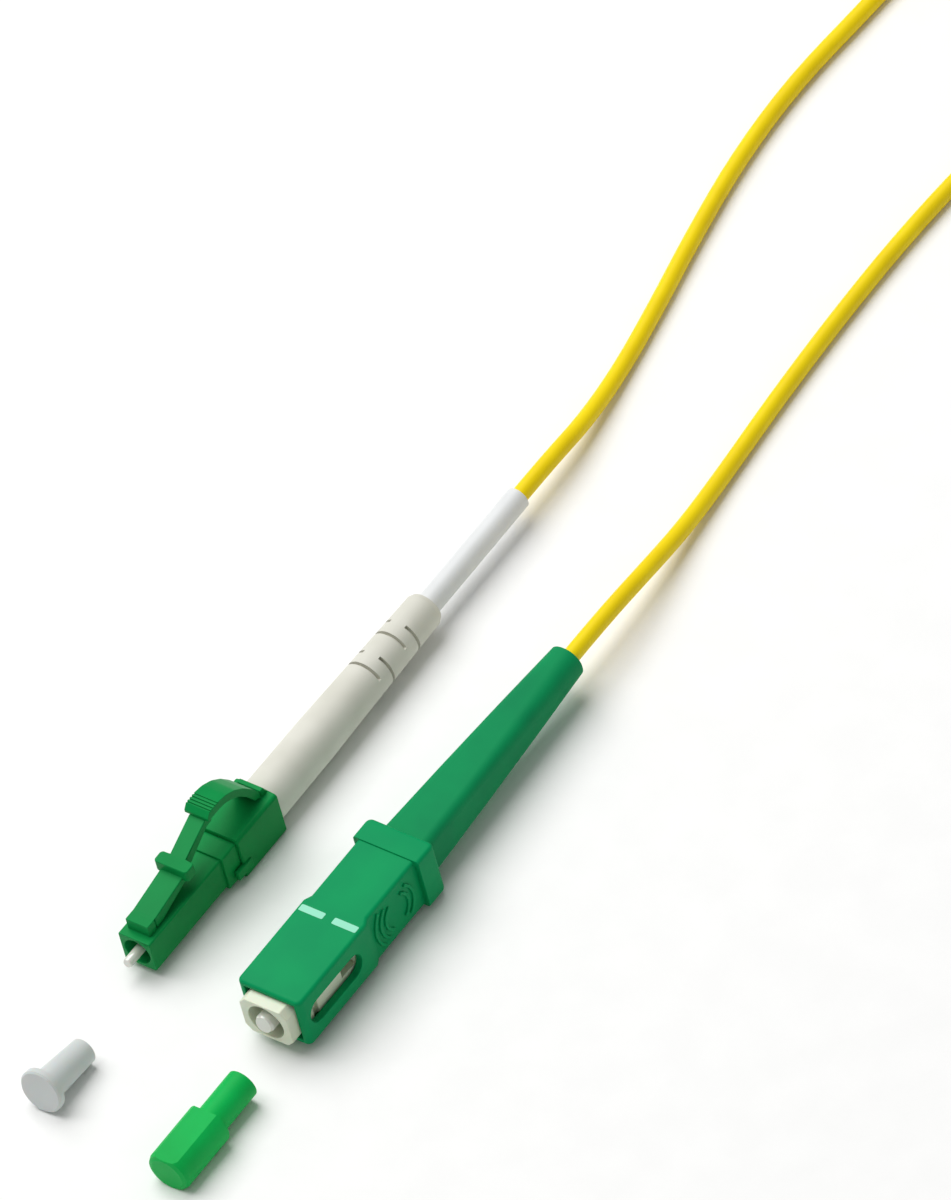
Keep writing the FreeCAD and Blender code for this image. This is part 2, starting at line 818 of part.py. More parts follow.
def make_lc_boot():
    """The round boot: a neck inside the rear housing, a long taper and a rounded end."""
    crimp = s.lc_backbone_tail_diameter + s.press_gap * 2 + s.lc_crimp_wall * 2
    inner = crimp / 2 + s.cord_gap
    neck = s.lc_rear_bore_diameter / 2 - s.press_gap
    cord_inner = s.lc_sleeve_diameter / 2 + s.cord_gap
    base = s.lc_boot_base_diameter / 2
    tip = s.lc_boot_tip_diameter / 2
    start = LC["boot"]
    end = LC["boot_end"]
    round_end = s.lc_boot_end_radius
    step = LC["jacket"] + s.rest_gap
    body = turned(
        "lc_boot",
        [
            (inner, start - s.lc_boot_neck_length),
            (neck, start - s.lc_boot_neck_length),
            (neck, start),
            (base, start),
            (s.lc_boot_bulge_diameter / 2, start + s.lc_boot_bulge_place),
            (tip, end - round_end),
            (tip - round_end * ROUND_SHARE, end - round_end * ROUND_SHARE),
            (tip - round_end, end),
            (cord_inner, end),
            (cord_inner, step),
            (inner, step),
        ],
    )
    floor = s.lc_boot_slot_floor_diameter / 2
    for row, plane in ((0, "YZ_Plane"), (1, "XZ_Plane")):
        for pair in range(2):
            share = SLOT_FIRST_SHARE + SLOT_PAIR_SHARE * row + SLOT_PITCH_SHARE * pair
            front = start + s.lc_boot_length * share
            back = front + s.lc_boot_slot_width
            slot = [(floor, front), (base, front), (base, back), (floor, back)]
            ring_groove(body, plane, slot, s.lc_boot_slot_angle)
    return body


def make_lc_inner_pieces():
    """What the small connector holds inside, from the ferrule back to the cord."""
    tail_end = LC["tail"] + s.lc_backbone_tail_length
    backbone_bore = s.buffer_diameter + s.fibre_gap * 4
    crimp_inner = s.lc_backbone_tail_diameter + s.press_gap * 2
    fibre_start = LC["ferrule_end"] + s.lc_float + s.rest_gap
    sleeve_inner = s.cord_diameter + s.cord_gap * 2
    return [
        make_ferrule(
            "lc_ferrule",
            s.lc_ferrule_diameter,
            LC["ferrule"],
            s.lc_ferrule_length,
            (s.lc_opening_depth - s.mate_gap, LC["flange"]),
        ),
        make_flange(
            "lc_ferrule_flange",
            s.lc_ferrule_diameter,
            s.buffer_diameter,
            LC["flange"],
            LC["ferrule_end"],
            (s.lc_head_diameter, s.lc_head_length),
            (s.lc_stem_diameter, s.lc_stem_length),
        ),
        make_spring(
            "lc_spring",
            s.lc_spring_wire,
            s.lc_spring_coil_diameter,
            LC["spring"],
            s.lc_spring_length,
        ),
        make_stepped_tube(
            "lc_backbone",
            backbone_bore,
            [
                (s.lc_chamber_diameter - s.press_gap * 2, LC["backbone"], LC["rear"]),
                (s.lc_backbone_shoulder_diameter, LC["rear"], LC["tail"]),
                (s.lc_backbone_tail_diameter, LC["tail"], tail_end),
            ],
        ),
        make_tube(
            "lc_crimp_ring",
            crimp_inner,
            crimp_inner + s.lc_crimp_wall * 2,
            LC["crimp"],
            LC["jacket"],
        ),
        make_tube("lc_sleeve", sleeve_inner, s.lc_sleeve_diameter, LC["sleeve"], LC["exit"]),
        make_rod("lc_fibre", s.buffer_diameter, fibre_start, LC["jacket"]),
        make_rod("lc_cord_end", s.cord_diameter, LC["jacket"], LC["exit"]),
    ]


def make_rod(label, diameter, start, end):
    """A plain round rod along the connector's axis."""
    body = new_body(label)
    pad(body, draw_circle(new_sketch(body, "XY_Plane", start), diameter), end - start)
    return body


# Large connector


def sc_places():
    """Where the pieces of the large connector start, behind the front face of its grip."""
    places = {"frame": ZERO - s.sc_frame_reach}
    places["boot"] = s.sc_grip_length - s.sc_boot_inside
    places["frame_end"] = places["boot"] - s.sc_frame_to_boot
    places["ferrule"] = places["frame"] - s.sc_ferrule_reach
    places["ferrule_end"] = places["ferrule"] + s.sc_ferrule_length
    places["web"] = places["frame"] + s.sc_opening_depth
    places["chamber"] = places["web"] + s.sc_web_thickness
    places["flange"] = places["chamber"] + s.rest_gap
    places["spring"] = places["flange"] + s.sc_head_length
    places["stop"] = places["spring"] + s.sc_spring_length
    places["stop_tail"] = places["frame_end"] + s.sc_stop_shoulder_length
    places["crimp"] = places["stop_tail"] + s.rest_gap
    places["jacket"] = places["crimp"] + s.sc_crimp_length
    places["grip_flange"] = s.sc_grip_length - s.sc_flange_length
    places["exit"] = s.sc_grip_length + s.sc_boot_length
    return places


SC = sc_places()


def make_sc_grip():
    """The sliding outer grip: a square tube with a waist, a flange, a key, windows and ribs."""
    body = new_body("sc_grip")
    half = s.sc_grip_width / 2
    waist = half - s.sc_waist_inset
    slope_end = s.sc_front_length + s.sc_waist_slope
    plan = draw_outline(
        new_sketch(body, "XZ_Plane"),
        [
            (-half, ZERO),
            (half, ZERO),
            (half, s.sc_front_length),
            (waist, slope_end),
            (waist, SC["grip_flange"]),
            (-waist, SC["grip_flange"]),
            (-waist, slope_end),
            (-half, s.sc_front_length),
        ],
    )
    pad(body, plan, s.sc_grip_height, symmetric=True)
    fillet(body, s.sc_plan_radius, 1, lambda place: place.z < CLOSE)
    fillet(body, s.edge_radius * 2, 2, lambda place: True)
    flange_height = s.sc_grip_height + s.sc_flange_rise * 2
    flange = new_sketch(body, "XY_Plane", SC["grip_flange"])
    pad(body, draw_block(flange, s.sc_flange_width, flange_height), s.sc_flange_length)
    back = number(s.sc_grip_length)
    fillet(body, s.sc_plan_radius, 1, lambda place: abs(place.z - back) < CLOSE)
    flange_place = number(SC["grip_flange"])
    fillet(body, s.edge_radius * 2, 2, lambda place: place.z > flange_place)
    key = new_sketch(body, "XY_Plane", s.sc_key_start)
    overlap = s.edge_radius
    key_middle = ZERO - s.sc_grip_height / 2 - s.sc_key_height / 2 + overlap / 2
    draw_block(key, s.sc_key_width, s.sc_key_height + overlap, key_middle)
    pad(body, key, s.sc_key_length)
    cavity_width = s.sc_frame_width + s.slide_gap * 2
    cavity_height = s.sc_frame_height + s.slide_gap * 2
    cavity = draw_block(new_sketch(body, "XY_Plane"), cavity_width, cavity_height)
    pocket(body, cavity, s.sc_grip_length)
    cut_sc_windows(body)
    add_sc_ribs(body, waist, slope_end)
    return body


def cut_sc_windows(body):
    """The long round-ended window in both sides of the grip."""
    radius = s.sc_window_height / 2
    start = s.sc_window_start + radius
    end = s.sc_window_start + s.sc_window_length - radius
    through = s.sc_flange_width * CUT_MARGIN
    slot = new_sketch(body, "YZ_Plane")
    draw_outline(slot, [(-radius, start), (radius, start), (radius, end), (-radius, end)])
    pocket(body, slot, through, symmetric=True)
    for middle in (start, end):
        hole = draw_circle(new_sketch(body, "YZ_Plane"), s.sc_window_height, ZERO, middle)
        pocket(body, hole, through, symmetric=True)


def rib_outline(centre, radius, way, spread):
    """A band bowed about a centre on the axis, as height above the axis and place along it."""
    turns = [math.radians(spread) * (2 * step / RIB_STEPS - 1) for step in range(RIB_STEPS + 1)]
    outer = radius + s.sc_rib_width / 2
    inner = radius - s.sc_rib_width / 2
    points = [(outer * math.sin(turn), centre + outer * (way * math.cos(turn))) for turn in turns]
    turns.reverse()
    points += [(inner * math.sin(turn), centre + inner * (way * math.cos(turn))) for turn in turns]
    return points


def add_sc_ribs(body, waist, slope_end):
    """Bowed grip ribs on both sides of the waist, in two groups about a bare panel."""
    centre = (slope_end + SC["grip_flange"]) / 2
    for face in (waist, -waist):
        ribs = new_sketch(body, "YZ_Plane", face - s.sc_rib_height)
        for way, index, spread in GRIP_RIBS:
            radius = s.sc_rib_first_radius + s.sc_rib_pitch * index
            draw_outline(ribs, rib_outline(centre, radius, way, spread))
        pad(body, ribs, s.sc_rib_height * 2)


def make_sc_plug_frame():
    """The pale inner frame: a chamfered block bored for the ferrule, its flange and spring."""
    body = new_body("sc_plug_frame")
    block = new_sketch(body, "XY_Plane", SC["frame"])
    draw_block(block, s.sc_frame_width, s.sc_frame_height)
    pad(body, block, SC["frame_end"] - SC["frame"])
    chamfer(body, s.sc_frame_chamfer, 2, lambda place: True)
    bore(body, SC["frame"], s.sc_opening_depth, s.sc_opening_diameter)
    bore(body, SC["web"], s.sc_web_thickness, s.sc_ferrule_diameter + s.ferrule_gap * 2)
    bore(body, SC["chamber"], SC["frame_end"] - SC["chamber"], s.sc_chamber_diameter)
    window = new_sketch(body, "YZ_Plane")
    high = s.sc_frame_window_height / 2
    start = s.sc_frame_window_start
    end = start + s.sc_frame_window_length
    draw_outline(window, [(-high, start), (high, start), (high, end), (-high, end)])
    pocket(body, window, s.sc_frame_width * CUT_MARGIN, symmetric=True)
    for side in (1, -1):
        groove = new_sketch(body, "XZ_Plane")
        outer = s.sc_frame_width / 2 * CUT_MARGIN * side
        inner = (s.sc_frame_width / 2 - s.sc_frame_groove_depth) * side
        start = s.sc_frame_groove_start
        end = start + s.sc_frame_groove_length
        draw_outline(groove, [(inner, start), (outer, start), (outer, end), (inner, end)])
        pocket(body, groove, s.sc_frame_height * CUT_MARGIN, symmetric=True)
    return body


def rounded_section(width, height, corner, place):
    """A rounded rectangle across the axis, as a wire of four sides and four arcs."""
    half_w = width / 2
    half_h = height / 2
    edges = []
    corners = [(1, 1), (-1, 1), (-1, -1), (1, -1)]
    for index, (sx, sy) in enumerate(corners):
        centre = FreeCAD.Vector(sx * (half_w - corner), sy * (half_h - corner), place)
        start = 90.0 * index
        circle = Part.Circle(centre, FreeCAD.Vector(0, 0, 1), corner)
        arc = circle.toShape(math.radians(start), math.radians(start + 90))
        edges.append(arc)
    sides = []
    for index in range(4):
        a = edges[index].Vertexes[-1].Point
        b = edges[(index + 1) % 4].Vertexes[0].Point
        sides.append(Part.LineSegment(a, b).toShape())
    ordered = [edge for pair in zip(edges, sides) for edge in pair]
    return Part.Wire(ordered)


def make_sc_boot():
    """The long boot, lofted from a rounded block at the grip to an almost round end."""
    start = number(SC["boot"])
    seat = number(s.sc_grip_length)
    end = number(SC["exit"])
    width = number(s.sc_boot_base_width)
    height = number(s.sc_boot_base_height)
    tip = number(s.sc_boot_tip_diameter)
    corner = number(s.sc_boot_corner)
    stretch = end - seat
    sections = []
    for share in BOOT_SECTIONS:
        wide = width + (tip - width) * share
        high = height + (tip - height) * share
        round_corner = corner + (tip * END_ROUND_SHARE - corner) * share * share
        sections.append(rounded_section(wide, high, round_corner, seat + stretch * share))
    outer = Part.makeLoft(sections, True, True)
    root = Part.Face(rounded_section(width, height, corner, start))
    outer = outer.fuse(root.extrude(FreeCAD.Vector(0, 0, seat - start)))
    crimp = s.sc_stop_tail_diameter + s.press_gap * 2 + s.sc_crimp_wall * 2
    room = number(crimp / 2 + s.cord_gap)
    room_end = number(SC["jacket"] + s.rest_gap)
    hole = number(s.cord_diameter / 2 + s.cord_gap)
    front = Part.makeCylinder(room, room_end - start, FreeCAD.Vector(0, 0, start))
    back = Part.makeCylinder(hole, end - start, FreeCAD.Vector(0, 0, start))
    boot = doc.addObject("Part::Feature", "sc_boot")
    boot.Label = "sc_boot"
    boot.Shape = outer.cut(front.fuse(back)).removeSplitter()
    return boot


def make_sc_inner_pieces():
    """What the large connector holds inside, from the ferrule back to the cord."""
    tail_end = SC["stop_tail"] + s.sc_stop_tail_length
    stop_bore = s.buffer_diameter + s.fibre_gap * 4
    crimp_inner = s.sc_stop_tail_diameter + s.press_gap * 2
    fibre_start = SC["ferrule_end"] + s.sc_float + s.rest_gap
    return [
        make_ferrule(
            "sc_ferrule",
            s.sc_ferrule_diameter,
            SC["ferrule"],
            s.sc_ferrule_length,
            (SC["web"] - s.mate_gap, SC["flange"]),
        ),
        make_flange(
            "sc_ferrule_flange",
            s.sc_ferrule_diameter,
            s.buffer_diameter,
            SC["flange"],
            SC["ferrule_end"],
            (s.sc_head_diameter, s.sc_head_length),
            (s.sc_stem_diameter, s.sc_stem_length),
        ),
        make_spring(
            "sc_spring",
            s.sc_spring_wire,
            s.sc_spring_coil_diameter,
            SC["spring"],
            s.sc_spring_length,
        ),
        make_stepped_tube(
            "sc_stop_ring",
            stop_bore,
            [
                (s.sc_chamber_diameter - s.press_gap * 2, SC["stop"], SC["frame_end"]),
                (s.sc_stop_shoulder_diameter, SC["frame_end"], SC["stop_tail"]),
                (s.sc_stop_tail_diameter, SC["stop_tail"], tail_end),
            ],
        ),
        make_tube(
            "sc_crimp_ring",
            crimp_inner,
            crimp_inner + s.sc_crimp_wall * 2,
            SC["crimp"],
            SC["jacket"],
        ),
        make_rod("sc_fibre", s.buffer_diameter, fibre_start, SC["jacket"]),
        make_rod("sc_cord_end", s.cord_diameter, SC["jacket"], SC["exit"]),
    ]


# Dust caps


def make_lc_cap():
    """The small cap: a round flange with a tapered tube, blind behind the flange."""
    flange = s.lc_cap_flange_diameter / 2
    root = s.lc_cap_root_diameter / 2
    tip = s.lc_cap_tip_diameter / 2
    hole = s.lc_ferrule_diameter / 2 + s.cap_gap
    edge = s.cap_edge_radius
    flare = s.lc_cap_flare
    shelf = s.lc_cap_flange_length
    return turned(
        "lc_dust_cap",
        [
            (ZERO, ZERO),
            (flange - edge, ZERO),
            (flange, edge),
            (flange, shelf),
            (root + flare, shelf),
            (root + flare * ROUND_SHARE, shelf + flare * ROUND_SHARE),
            (root, shelf + flare),
            (tip, s.lc_cap_length),
            (hole, s.lc_cap_length),
            (hole, s.cap_end_wall),
            (ZERO, s.cap_end_wall),
        ],
    )


def make_sc_cap():
    """The large cap: a head with two flats to grip, and a tube that covers the ferrule."""
    head = s.sc_cap_head_diameter / 2
    tube = s.sc_cap_tube_diameter / 2
    hole = s.sc_ferrule_diameter / 2 + s.cap_gap
    edge = s.sc_cap_head_radius
    body = turned(
        "sc_dust_cap",
        [
            (ZERO, ZERO),
            (head - edge, ZERO),
            (head - edge * ROUND_SHARE, edge * ROUND_SHARE),
            (head, edge),
            (head, s.sc_cap_head_length),
            (tube, s.sc_cap_head_length),
            (tube, s.sc_cap_length),
            (hole, s.sc_cap_length),
            (hole, s.cap_end_wall),
            (ZERO, s.cap_end_wall),
        ],
    )
    flat = s.sc_cap_head_flat / 2
    for side in (1, -1):
        cut = new_sketch(body, "XY_Plane")
        reach = head * CUT_MARGIN
        near = flat * side
        far = reach * side
        draw_outline(cut, [(-reach, near), (reach, near), (reach, far), (-reach, far)])
        pocket(body, cut, s.sc_cap_head_length)
    return body


# Cord


def rounded_path(points):
    """Straight runs with tangent arcs at the corners, each as large as its two runs allow."""
    corners = [FreeCAD.Vector(*point) for point in points]
    edges = []
    last = corners[0]
    radii = []
    for before, corner, after in zip(corners, corners[1:], corners[2:]):
        arrive = (corner - before).normalize()
        leave = (after - corner).normalize()
        half_turn = arrive.getAngle(leave) / 2
        reach = ARC_SHARE * min((corner - before).Length, (after - corner).Length)
        radius = reach / math.tan(half_turn)
        radii.append(radius)
        begin = corner - arrive * reach
        end = corner + leave * reach
        inward = (leave - arrive).normalize()
        middle = corner + inward * (radius / math.cos(half_turn) - radius)
        edges.append(Part.LineSegment(last, begin).toShape())
        edges.append(Part.Arc(begin, middle, end).toShape())
        last = end
    edges.append(Part.LineSegment(last, corners[-1]).toShape())
    print("arc radii:", " ".join("%.0f" % radius for radius in radii))
    return Part.Wire(edges)


def make_cord_run(label, points):
    """A tube along a rounded path, checked against its section times its length."""
    path = rounded_path(points)
    radius = number(s.cord_diameter) / 2
    start = FreeCAD.Vector(*points[0])
    heading = FreeCAD.Vector(*points[1]) - start
    section = Part.Wire([Part.Circle(start, heading, radius).toShape()])
    run = doc.addObject("Part::Feature", label)
    run.Label = label
    run.Shape = path.makePipeShell([section], True, True)
    expected = math.pi * radius * radius * path.Length
    print("%s: length %.1f mm, volume ratio %.5f" % (label, path.Length, run.Shape.Volume / expected))
    return run


def make_cord_coil():
    """The outer shape of the put-away coil: a ring whose layers narrow towards the top."""
    half = s.cord_diameter * s.coil_bottom_turns / 2
    rise = math.sqrt(3) / 2
    height = s.cord_diameter * (s.coil_layers - 1) * rise + s.cord_diameter
    middle = s.coil_mean_radius
    side = s.cord_diameter * COIL_SIDE_SHARE
    top = s.cord_diameter * COIL_TOP_SHARE
    return turned(
        "cord_coil",
        [
            (middle - half, ZERO),
            (middle + half, ZERO),
            (middle + half, side),
            (middle + top, height),
            (middle - top, height),
            (middle - half, side),
        ],
    )


# Places on the bench


ALONG_BENCH = FreeCAD.Rotation(FreeCAD.Vector(0, 1, 1), 180)


def set_on_bench(pieces, across, along, height, rotation=ALONG_BENCH):
    place = FreeCAD.Vector(number(across), number(along), number(height))
    for piece in pieces:
        piece.Placement = FreeCAD.Placement(place, rotation)


def lay_lc_cap(cap):
    """The small cap lies on the rim of its flange and the end of its tube, so it tilts."""
    rim = number(s.lc_cap_flange_diameter) / 2
    tip = number(s.lc_cap_tip_diameter) / 2
    flange = number(s.lc_cap_flange_length)
    run = number(s.lc_cap_length) - flange
    tilt = math.atan2(rim - tip, run)
    height = rim * math.cos(tilt) + flange * math.sin(tilt)
    lean = FreeCAD.Rotation(FreeCAD.Vector(1, 0, 0), -math.degrees(tilt))
    turn = lean.multiply(ALONG_BENCH)
    set_on_bench([cap], s.lc_cap_place_across, s.lc_cap_place_along, height, turn)


def move_origin(pieces, cords):
    """Shift everything so that the origin is under the middle of the pieces, on the table."""
    box = FreeCAD.BoundBox()
    for piece in pieces:
        box.add(piece.Shape.optimalBoundingBox(False))
    shift = FreeCAD.Vector(-box.Center.x, -box.Center.y, -box.ZMin)
    for piece in pieces + cords:
        piece.Placement.Base = piece.Placement.Base + shift
    print("bench frame moved by %.4f %.4f %.4f" % tuple(shift))


def write_pieces(pieces):
    """Check every object of the document, then write one file for each piece."""
    for obj in doc.Objects:
        if "Invalid" in obj.State or "Error" in obj.State:
            raise RuntimeError("%s is %s" % (obj.Label, obj.State))
    for piece in pieces:
        if piece.Shape.isNull() or not piece.Shape.isValid():
            raise RuntimeError("%s has no valid shape" % piece.Label)
        if len(piece.Shape.Solids) != 1:
            raise RuntimeError("%s has %d solids" % (piece.Label, len(piece.Shape.Solids)))
    os.makedirs("parts", exist_ok=True)
    for piece in pieces:
        piece.Shape.exportStep("parts/%s.step" % piece.Label)
    print("%d pieces written" % len(pieces))


def main():
    lc_pieces = [
        make_lc_housing(),
        make_lc_latch(),
        make_lc_rear_housing(),
        make_lc_trigger(),
        make_lc_boot(),
    ]
    lc_pieces += make_lc_inner_pieces()
    set_on_bench(lc_pieces, ZERO, s.lc_ferrule_reach, s.lc_rear_height / 2)

    sc_pieces = [make_sc_grip(), make_sc_plug_frame(), make_sc_boot()]
    sc_pieces += make_sc_inner_pieces()
    sc_front = s.sc_tip_place - SC["ferrule"]
    set_on_bench(sc_pieces, s.sc_axis_place, sc_front, s.sc_grip_height / 2 + s.sc_key_height)

    lc_cap = make_lc_cap()
    lay_lc_cap(lc_cap)
    sc_cap = make_sc_cap()
    cap_height = s.sc_cap_head_flat / 2
    set_on_bench([sc_cap], s.sc_cap_place_across, s.sc_cap_place_along, cap_height)

    coil = make_cord_coil()
    upright = FreeCAD.Rotation()
    set_on_bench([coil], s.coil_place_across, s.coil_place_along, ZERO, upright)
    cords = [make_cord_run("cord_lc_run", LC_RUN), make_cord_run("cord_sc_run", SC_RUN), coil]

    pieces = lc_pieces + sc_pieces + [lc_cap, sc_cap]
    doc.recompute()
    move_origin(pieces, cords)
    write_pieces(pieces + cords)


main()
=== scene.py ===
# %% [markdown]
# This lesson dresses a fibre patch cord for a product picture. A patch cord is a short length of
# optical fibre in a yellow jacket with a connector on each end. The solids come from the CAD frame
# and keep their places. This script adds the finishes, the cord as one flexible curve, the soft
# edges of moulded plastic, the table, the light and the camera.

# %% Load the frame
import json
import math

import bmesh
import bpy
import numpy as np
from mathutils import Matrix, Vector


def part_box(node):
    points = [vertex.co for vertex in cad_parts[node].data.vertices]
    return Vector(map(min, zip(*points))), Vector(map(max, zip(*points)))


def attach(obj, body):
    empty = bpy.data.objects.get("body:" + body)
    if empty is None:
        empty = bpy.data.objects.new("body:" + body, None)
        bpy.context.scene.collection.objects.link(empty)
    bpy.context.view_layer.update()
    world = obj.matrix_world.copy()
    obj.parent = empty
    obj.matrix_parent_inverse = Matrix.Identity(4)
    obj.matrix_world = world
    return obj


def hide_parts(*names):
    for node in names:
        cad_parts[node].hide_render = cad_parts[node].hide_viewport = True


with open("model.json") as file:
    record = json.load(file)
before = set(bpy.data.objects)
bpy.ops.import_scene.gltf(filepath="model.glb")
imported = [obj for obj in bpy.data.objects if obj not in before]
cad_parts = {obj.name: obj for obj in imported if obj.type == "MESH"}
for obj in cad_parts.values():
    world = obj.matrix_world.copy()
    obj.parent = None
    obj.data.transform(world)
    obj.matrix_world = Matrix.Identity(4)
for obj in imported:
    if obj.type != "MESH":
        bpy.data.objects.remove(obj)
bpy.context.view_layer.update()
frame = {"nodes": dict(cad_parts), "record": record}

MM = 0.001
nodes = frame["nodes"]
slot_of_node = {part["node"]: part["material_slot"] for part in frame["record"]["subparts"]}
body_of_node = {name: body for body, members in frame["record"]["behaviour"]["bodies"].items()
                for name in members}
print("solids in the frame:", len(nodes))

# %% [markdown]
# The picture is taken from above, with both connectors pointing down to the left. A long lens far
# away keeps parallel edges almost parallel, as in a catalogue picture of something this small. The
# view is given by how far the camera stands round the object, how high, and how much it is rolled.

# %% Camera
AZIMUTH, ELEVATION, ROLL = (math.radians(angle) for angle in (47.2, 46.9, -16.02))
DISTANCE = 3.0
FRAME_HEIGHT = 0.13793
SENSOR = 24.0
FAR_CLIP = 20.0
LOOK_AT = np.array([-0.00695, 0.03605, 0.00248])


def view_axes(azimuth, elevation, roll):
    """Right, up and backward unit vectors of a camera. Backward points from the object to the
    camera, and right and up are turned about it by the roll."""
    back = np.array([math.cos(elevation) * math.sin(azimuth),
                     -math.cos(elevation) * math.cos(azimuth), math.sin(elevation)])
    right = np.array([math.cos(azimuth), math.sin(azimuth), 0.0])
    up = np.cross(back, right)
    turned_right = math.cos(roll) * right + math.sin(roll) * up
    turned_up = math.cos(roll) * up - math.sin(roll) * right
    return turned_right, turned_up, back


def placed(obj, axes, place):
    """Put an object at a place, with the three axes as its own x, y and z."""
    matrix = np.eye(4)
    matrix[:3, :3] = np.array(axes).T
    matrix[:3, 3] = place
    obj.matrix_world = Matrix(matrix.tolist())
    return obj


def linked(name, data):
    """A new object in the scene that shows the data."""
    obj = bpy.data.objects.new(name, data)
    bpy.context.scene.collection.objects.link(obj)
    return obj


view_right, view_up, view_back = view_axes(AZIMUTH, ELEVATION, ROLL)
camera_data = bpy.data.cameras.new("camera")
camera_data.type = "PERSP"
camera_data.sensor_fit = "VERTICAL"
camera_data.sensor_height = SENSOR
camera_data.lens = SENSOR * DISTANCE / FRAME_HEIGHT
camera_data.clip_end = FAR_CLIP
camera = placed(linked("camera", camera_data), (view_right, view_up, view_back),
                LOOK_AT + DISTANCE * view_back)
bpy.context.scene.camera = camera
print("lens in mm:", round(camera_data.lens, 1))

# %% [markdown]
# The colours are written as hex codes, as a colour picker gives them, and the renderer works in
# linear light, so one function turns a code into linear red, green and blue. Every finish is then a
# few nodes, and one small function adds a node, sets its values and links its inputs. No moulded
# batch is one even colour, so each finish drifts between two close colours over some millimetres.

# %% Colours and nodes
DRIFT_MM = 6.0
DRIFT_FROM, DRIFT_TO = 0.35, 0.65
ROUGHNESS_SPREAD = 0.05


def linear(code):
    """Linear red, green, blue and alpha of an sRGB hex code: each channel from 0 to 1 is divided by
    12.92 below 0.04045, and otherwise raised by the sRGB curve."""
    channels = np.array([int(code[i:i + 2], 16) for i in (1, 3, 5)]) / 255
    low, high = channels / 12.92, ((channels + 0.055) / 1.055) ** 2.4
    return (*np.where(channels <= 0.04045, low, high).tolist(), 1.0)


def add(tree, kind, settings=None, inputs=None):
    """Add a node. Settings are the node's own properties. Inputs are values, or sockets to link."""
    node = tree.nodes.new("ShaderNode" + kind)
    for name, value in (settings or {}).items():
        setattr(node, name, value)
    for name, value in (inputs or {}).items():
        if isinstance(value, bpy.types.NodeSocket):
            tree.links.new(value, node.inputs[name])
        else:
            node.inputs[name].default_value = value
    return node


def ramp(tree, factor, stops):
    """A colour ramp through (place, colour) stops."""
    node = add(tree, "ValToRGB", inputs={"Fac": factor})
    elements = node.color_ramp.elements
    while len(elements) < len(stops):
        elements.new(0.5)
    for element, (place, colour) in zip(elements, stops):
        element.position, element.color = place, colour
    return node


def finish(name, colours, roughness, grain_mm, bump_mm, **shader):
    """A finish: two colours that drift into each other over the surface, a roughness that varies
    with the grain, and the grain as bump. The grain's size and depth are in millimetres."""
    material = bpy.data.materials.new(name)
    material.use_nodes = True
    tree = material.node_tree
    tree.nodes.clear()
    place = add(tree, "TexCoord").outputs["Object"]
    drift = add(tree, "TexNoise", inputs={"Vector": place, "Scale": 1 / (DRIFT_MM * MM),
                                            "Detail": 2.0})
    grain = add(tree, "TexNoise",
                inputs={"Vector": place, "Scale": 1 / (grain_mm * MM), "Detail": 3.0})
    first, second = (linear(code) for code in colours)
    colour = ramp(tree, drift.outputs["Fac"], [(DRIFT_FROM, first), (DRIFT_TO, second)])
    rough = add(tree, "MapRange", inputs={
        "Value": grain.outputs["Fac"], "To Min": roughness - ROUGHNESS_SPREAD,
        "To Max": roughness + ROUGHNESS_SPREAD})
    bump = add(tree, "Bump", inputs={
        "Height": grain.outputs["Fac"], "Distance": bump_mm * MM, "Strength": 1.0})
    surface = add(tree, "BsdfPrincipled", inputs={
        "Base Color": colour.outputs["Color"], "Roughness": rough.outputs["Result"],
        "Normal": bump.outputs["Normal"], **shader})
    add(tree, "OutputMaterial", inputs={"Surface": surface.outputs["BSDF"]})
    return material


# %% [markdown]
# The connector housings are injection-moulded PBT, a stiff plastic dyed right through. The mould
# leaves a satin surface with a grain of about a tenth of a millimetre, so highlights are broad and
# soft. The small connector is a deeper green than the large one. The cream frame inside the large
# one is the same plastic without dye, and lets a little light in.

# %% Moulded housings
finishes = {}
finishes["green_pbt_lc"] = finish("moulded PBT, deep green", ("#0b8a45", "#0d9149"), 0.38, 0.12,
                                  0.004, IOR=1.55, **{"Specular IOR Level": 0.06})
finishes["green_pbt_sc"] = finish("moulded PBT, bright green", ("#04955a", "#059c5c"), 0.42, 0.12,
                                  0.004, IOR=1.55, **{"Specular IOR Level": 0.06})
finishes["cream_pbt"] = finish("moulded PBT, undyed", ("#e0e7d0", "#d6e0c4"), 0.36, 0.12, 0.003,
                               IOR=1.55,
                               **{"Subsurface Weight": 0.15, "Subsurface Scale": 0.0006})
print("housing finishes:", len(finishes))

# %% [markdown]
# The boots are thermoplastic elastomer, a rubbery plastic that comes out of its mould matte. The
# sleeve and the jacket are extruded PVC: smooth, with a faint waviness along them. The caps are
# polyethylene, waxy and slightly translucent.

# %% Soft plastics
finishes["grey_tpe"] = finish("moulded TPE, warm grey", ("#dcdbd0", "#d4d3c7"), 0.62, 0.2, 0.006)
finishes["green_tpe"] = finish("moulded TPE, green", ("#039055", "#038852"), 0.6, 0.2, 0.005,
                               **{"Specular IOR Level": 0.12})
finishes["white_pvc"] = finish("extruded PVC, white", ("#e8eaea", "#e1e3e3"), 0.42, 0.5, 0.004)
finishes["cord_yellow"] = finish("extruded jacket, yellow", ("#fbdf06", "#f4d605"), 0.42, 0.6,
                                 0.004, **{"Specular IOR Level": 0.2})
finishes["buffer_white"] = finish("tight buffer, white", ("#eeeeea", "#e6e6e2"), 0.4, 0.4, 0.002)
finishes["white_cap"] = finish("moulded polyethylene, white", ("#d0d5d4", "#cad0ce"), 0.45, 0.3,
                               0.004, **{"Subsurface Weight": 0.2, "Subsurface Scale": 0.001})
